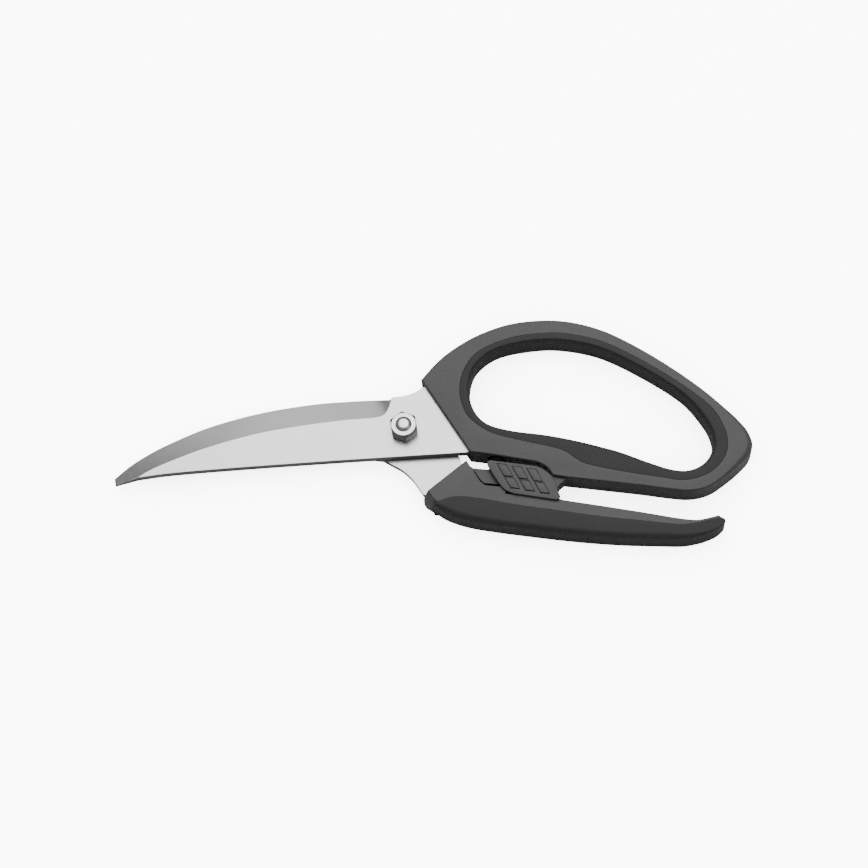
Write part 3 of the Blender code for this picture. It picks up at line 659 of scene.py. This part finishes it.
straightShape = {
    "apex": [(8.3, -28.2), (24.8, -14.0), (26.6, -16.8), (32.8, -17.4), (41.0, -18.6)],
    "shelf": [(42.4, -23.8), (50.5, -24.4), (54.0, -27.4), (62.4, -30.5)],
    "top": [(62.4, -30.5), (77.4, -32.9), (93.1, -35.5), (105.5, -37.7), (112.8, -38.6), (117.0, -38.1),
            (119.7, -37.4), (122.4, -36.7)],
    "split": [(11.6, -31.9), (14.0, -31.2), (18.2, -29.8), (22.6, -29.2), (30.1, -30.0), (45.8, -32.8),
              (61.6, -35.1), (77.4, -37.4), (93.1, -39.1), (105.0, -40.4), (109.5, -40.5), (115.0, -39.6),
              (119.7, -38.5), (123.4, -37.5)],
    "corner": [(11.6, -31.9), (9.0, -30.2), (8.2, -28.9), (8.3, -28.2)],
    "bottom": [(11.6, -31.9), (17.6, -35.8), (25.6, -38.6), (37.4, -40.7), (53.2, -42.8), (68.9, -44.6),
               (84.7, -45.8), (100.4, -46.2), (109.0, -46.2), (115.9, -44.8), (120.6, -42.9),
               (123.3, -41.0), (124.9, -39.0), (124.4, -38.0), (123.4, -37.5)],
    "tang": [(21.9, -10.4), (22.7, -13.5), (30.5, -20.0), (30.5, -27.0), (14.5, -27.3), (8.0, -26.3),
             (2.0, -14.0)],
    "cornerCut": [(10.1, -26.6, 11.0), (9.6, -30.6, 5.0), (13.7, -31.4, 11.0)],
    "recess": [(27.3, -12.0), (27.3, -17.6), (29.1, -21.2), (30.5, -23.2), (31.9, -24.3), (38.4, -24.9),
               (39.9, -27.0), (41.9, -27.7), (49.8, -29.0), (60.5, -30.4), (61.5, -24.0), (60.0, -12.0)],
    "groove": [(27.3, -17.7), (29.1, -21.2), (30.5, -23.2), (31.9, -24.3), (32.5, -23.5), (31.2, -22.5),
               (29.8, -20.8), (27.9, -17.7)],
    "gap": [(32.0, -23.1), (38.8, -23.7), (38.6, -25.2), (32.0, -24.6)],
    "keeperRecess": [(39.3, -24.15), (51.4, -25.8), (51.1, -30.0), (38.9, -28.35)],
    "recessDepth": 1.4, "gapDepth": 3.2, "rim": 0.35, "under": 0.4, "gripRim": 2.6, "splitRim": 0.1,
    "gripUnder": 1.2, "gripTail": 125.5, "gripTailOver": 18, "gripTailShare": 0.15,
    "webPoints": 60, "webStart": 4, "webEnd": 50, "webDepth": 0.55, "webLift": 1.5}
lockShape = {
    "stemCentre": (48.6, -27.5), "slotWidth": 3.5, "slotBack": 8.3, "slotFore": 2.5,
    "button": [(33.0, -15.0), (34.3, -14.4), (52.4, -16.9), (54.4, -17.8), (57.1, -19.9), (58.9, -22.7),
               (61.5, -29.4), (61.0, -30.8), (59.6, -30.9), (43.4, -28.4), (40.3, -27.1), (38.4, -25.2),
               (35.4, -20.6), (33.1, -16.4)],
    "columns": 3, "padStart": (37.0, -16.1), "padPitch": (5.8, -1.0), "padLean": (5.3, -9.9),
    "padAcross": (3.3, -0.35), "padSpans": [(0.0, 0.5), (0.59, 1.0)], "padRise": 0.4,
    "padMoat": 0.35, "padRim": 0.15, "padDepth": 0.6, "moatDepth": 0.5, "rim": 0.3}


def slideSlot():
    shape = lockShape
    along = -Vector(slideJoint["axis"][:2])
    side = Vector((-along.y, along.x)) * shape["slotWidth"] / 2
    centre = Vector(shape["stemCentre"])
    right, left = centre + along * shape["slotFore"], centre - along * shape["slotBack"]
    return outline([tuple(left - side), tuple(right - side), tuple(right + side), tuple(left + side)])


def straightPieces():
    shape = straightShape
    split, bottom = smoothRun(shape["split"]), smoothRun(shape["bottom"])
    gapped = grown(outline(split, bottom[::-1]), seamGap)
    whole = outline(shape["apex"], shape["shelf"], smoothRun(shape["top"], 6), bottom[::-1],
                    shape["corner"])
    shell = plate("straightHandleHard", whole, handleBack, handleFront, shape["rim"], shape["under"], 4)
    combine(shell, plate("gripRoom", gapped, handleBack - beyond, handleFront + beyond))
    # a web inside the grip, from just above the split to half way down
    start, end = shape["webStart"], shape["webEnd"]
    upper, lower = (evenly(run, shape["webPoints"])[start:end] for run in (split, bottom))
    core = between(upper, lower, shape["webDepth"])
    above = [(x, y + shape["webLift"]) for x, y in upper[:-2]]
    webShape = outline(core, above[::-1])
    low, high = loopShape["coreLow"], loopShape["coreHigh"]
    combine(shell, plate("web", webShape, low, high), "UNION")
    cutAcross(shell, shape["cornerCut"])
    combine(shell, tangPocket(shape["tang"], backBladeLow, backBladeHigh))
    combine(shell, springPocket(springPlace["low"] - pieceGap, springPlace["straightPocketEnd"]))
    top = handleFront + 2 * beyond
    combine(shell, plate("recess", shape["recess"], handleFront - shape["recessDepth"], top))
    for name in ("gap", "groove"):
        combine(shell, plate(name, outline(shape[name]), handleFront - shape["gapDepth"], top))
    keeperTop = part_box("lock_keeper_plate")[1].z / mm + pieceGap
    combine(shell, plate("keeperRecess", shape["keeperRecess"], handleBack - beyond, keeperTop))
    combine(shell, plate("slot", slideSlot(), handleBack - beyond, handleFront + beyond))
    smoothBy(shell, 30)
    standsFor(shell, "lower_handle_shell", "lower_handle", "handle_grey", hardPlastic)

    around = outline(bottom, split[::-1])
    rims = []
    for point in around:
        share = (shape["gripTail"] - point[0]) / shape["gripTailOver"]
        rounded = shape["gripRim"] * min(max(share, shape["gripTailShare"]), 1)
        free = isOn(point, bottom) and not isOn(point, split)
        rims.append(rounded if free else shape["splitRim"])
    rims = softened(rims, 8)
    grip = plate("straightHandleSoft", around, handleBack, handleFront, rims, shape["gripUnder"], 8)
    combine(grip, plate("groove", grown(webShape, pieceGap), low - pieceGap, high + pieceGap))
    smoothBy(grip, 40)
    standsFor(grip, "lower_handle_grip", "lower_handle", "grip_dark", softPlastic)


straightPieces()
print("straight handle ready")


# lock

def lockPieces():
    shape = lockShape
    buttonLow, buttonHigh = (corner.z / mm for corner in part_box("lock_button"))
    base = buttonHigh - shape["padRise"]
    button = plate("lockButtonTop", outline(shape["button"]), buttonLow, base, shape["rim"])
    lean, across, start = Vector(shape["padLean"]), Vector(shape["padAcross"]), Vector(shape["padStart"])
    for low, high in shape["padSpans"]:
        upper, lower = start + lean * low, start + lean * high
        corners = outline([upper, upper + across, lower + across, lower])
        pad = plate("pad", corners, base - shape["padDepth"], buttonHigh, shape["padRim"], segments=3)
        moat = plate("moat", grown(corners, shape["padMoat"]), base - shape["moatDepth"], buttonHigh + beyond)
        for _ in range(shape["columns"]):
            for tool, operation in ((moat, "DIFFERENCE"), (pad, "UNION")):
                pick(tool)
                bpy.ops.object.duplicate()
                combine(button, bpy.context.object, operation)
                pick(tool)
                bpy.ops.transform.translate(value=(Vector(shape["padPitch"]) * mm).to_3d())
        bpy.data.objects.remove(pad, do_unlink=True)
        bpy.data.objects.remove(moat, do_unlink=True)
    smoothBy(button, 30)
    standsFor(button, "lock_button", "lock", "handle_grey", hardPlastic)
    # these four keep the shapes they come with
    for node, material in (("lock_slider", hardPlastic), ("lock_keeper_plate", hardPlastic),
                           ("lock_screw", fastenerSteel), ("pivot_sleeve", fastenerSteel)):
        frame["nodes"][node].data.materials.clear()
        frame["nodes"][node].data.materials.append(material)


lockPieces()
print("lock ready")


# opening spring

def springPiece():
    place = springPlace
    wire, radius = place["wire"], place["radius"]
    low, high = place["low"] + wire, place["high"] - wire
    steps = place["turns"] * place["stepsPerTurn"]
    closeWound = place["closedTurns"] / place["turns"]
    rise = 2 * wire * place["closedPitch"] * place["closedTurns"]
    curve = bpy.data.curves.new("openingSpringCoil", "CURVE")
    curve.dimensions = "3D"
    curve.bevel_depth = wire * mm
    curve.bevel_resolution = 4
    curve.use_fill_caps = True
    run = curve.splines.new("POLY")
    run.points.add(steps)
    for number, point in enumerate(run.points):
        t = number / steps
        angle = 2 * math.pi * place["turns"] * t
        middle = min(max((t - closeWound) / (1 - 2 * closeWound), 0), 1)
        ends = min(t / closeWound, 1) * rise + max((t - 1) / closeWound, -1) * rise + rise
        y = low + ends + middle * (high - low - 2 * rise)
        x, z = place["x"] + radius * math.cos(angle), place["z"] + radius * math.sin(angle)
        point.co = (x * mm, y * mm, z * mm, 1)
    coil = bpy.data.objects.new("openingSpringCoil", curve)
    bpy.context.scene.collection.objects.link(coil)
    pick(coil)
    bpy.ops.object.convert(target="MESH")
    coil = bpy.context.object
    outwardNormals(coil)
    smoothBy(coil, 40)
    standsFor(coil, "opening_spring", None, "fastener_steel", springSteel)
    x, z = place["x"] * mm, place["z"] * mm
    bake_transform(coil)


springPiece()
print("spring ready")


# floor, light and camera

stageSettings = {
    "floorSize": 6.0, "floorDrop": 0.4, "floorGlow": 10.0, "shadeReach": 0.03, "shade": 0.35,
    "cardDrop": 0.6, "bounce": 0.9, "bounceSpread": 1.05, "room": 0.2,
    "key": {"size": 1.45, "radiance": 2.95, "place": (0.12, 0.7, 1.3)},
    "side": {"size": 0.9, "radiance": 0.35, "place": (1.1, -0.35, 0.5)}}
cameraSettings = {"aim": (0.0118, -0.002, 0.00865), "tilt": 23.0, "turn": 8.0, "distance": 0.9,
                  "width": 0.342, "sensor": 36.0}


def buildStage():
    setting = stageSettings
    deselectAll()
    bpy.ops.mesh.primitive_plane_add(size=setting["floorSize"], location=(0, 0, -setting["floorDrop"] * mm))
    floor = bpy.context.object
    floor.name = "paleFloor"
    # the floor glows white, with a painted shadow: the glow is darkened close under the shears
    pale = Finish("paleFloor", Roughness=0.9, Specular_IOR_Level=0.1,
                  Emission_Strength=setting["floorGlow"])
    paintedShadow = pale.add("ShaderNodeAmbientOcclusion", {"samples": 16}, {"Distance": setting["shadeReach"]},
                    output=1)
    tone = pale.noise(pale.place(), 3.0, 2.0)
    pale.feed(Base_Color=pale.blendColours(tone, (0.93, 0.93, 0.93), (0.95, 0.95, 0.95)),
              # painted shadow: the emission colour falls to the shade value where the shears are near
              Emission_Color=pale.blendColours(paintedShadow, (setting["shade"],) * 3, (1, 1, 1)))
    floor.data.materials.append(pale.material)
    floor.visible_diffuse = False
    floor.visible_glossy = False
    floor.visible_shadow = False

    # a pale card just below the floor, unseen by the camera, throws light back at the shears
    bpy.ops.mesh.primitive_plane_add(size=setting["floorSize"], location=(0, 0, -setting["cardDrop"] * mm))
    card = bpy.context.object
    card.name = "bounceCard"
    matt = Finish("bounceCard", Roughness=0.95, Specular_IOR_Level=0.05)
    tone = matt.noise(matt.place(), 3.0, 2.0)
    low = setting["bounce"]
    high = low * setting["bounceSpread"]
    matt.feed(Base_Color=matt.blendColours(tone, (low,) * 3, (high,) * 3))
    card.data.materials.append(matt.material)
    card.visible_camera = False

    world = bpy.data.worlds.new("softRoom")
    bpy.context.scene.world = world
    world.use_nodes = True
    world.node_tree.nodes["Background"].inputs["Color"].default_value = (1, 1, 1, 1)
    world.node_tree.nodes["Background"].inputs["Strength"].default_value = setting["room"]

    for name in ("key", "side"):
        lamp = setting[name]
        light = bpy.data.lights.new(name + "Softbox", "AREA")
        light.shape = "SQUARE"
        light.size = lamp["size"]
        light.energy = lamp["radiance"] * math.pi * lamp["size"] ** 2
        thing = bpy.data.objects.new(name + "Softbox", light)
        thing.location = lamp["place"]
        thing.rotation_euler = Vector(lamp["place"]).to_track_quat("Z", "Y").to_euler()
        bpy.context.scene.collection.objects.link(thing)


def buildCamera():
    setting = cameraSettings
    tilt, turn = math.radians(setting["tilt"]), math.radians(setting["turn"])
    away = Vector((math.sin(tilt) * math.sin(turn), -math.sin(tilt) * math.cos(turn), math.cos(tilt)))
    upward = Vector((0, away.z, -away.y)).normalized()
    right = upward.cross(away)
    camera = bpy.data.cameras.new("studioCamera")
    camera.sensor_width = setting["sensor"]
    camera.lens = camera.sensor_width * setting["distance"] / setting["width"]
    thing = bpy.data.objects.new("studioCamera", camera)
    facing = Matrix((right, upward, away)).transposed().to_4x4()
    thing.matrix_world = Matrix.Translation(Vector(setting["aim"]) + away * setting["distance"]) @ facing
    bpy.context.scene.collection.objects.link(thing)
    bpy.context.scene.camera = thing


buildStage()
buildCamera()
print("stage ready")
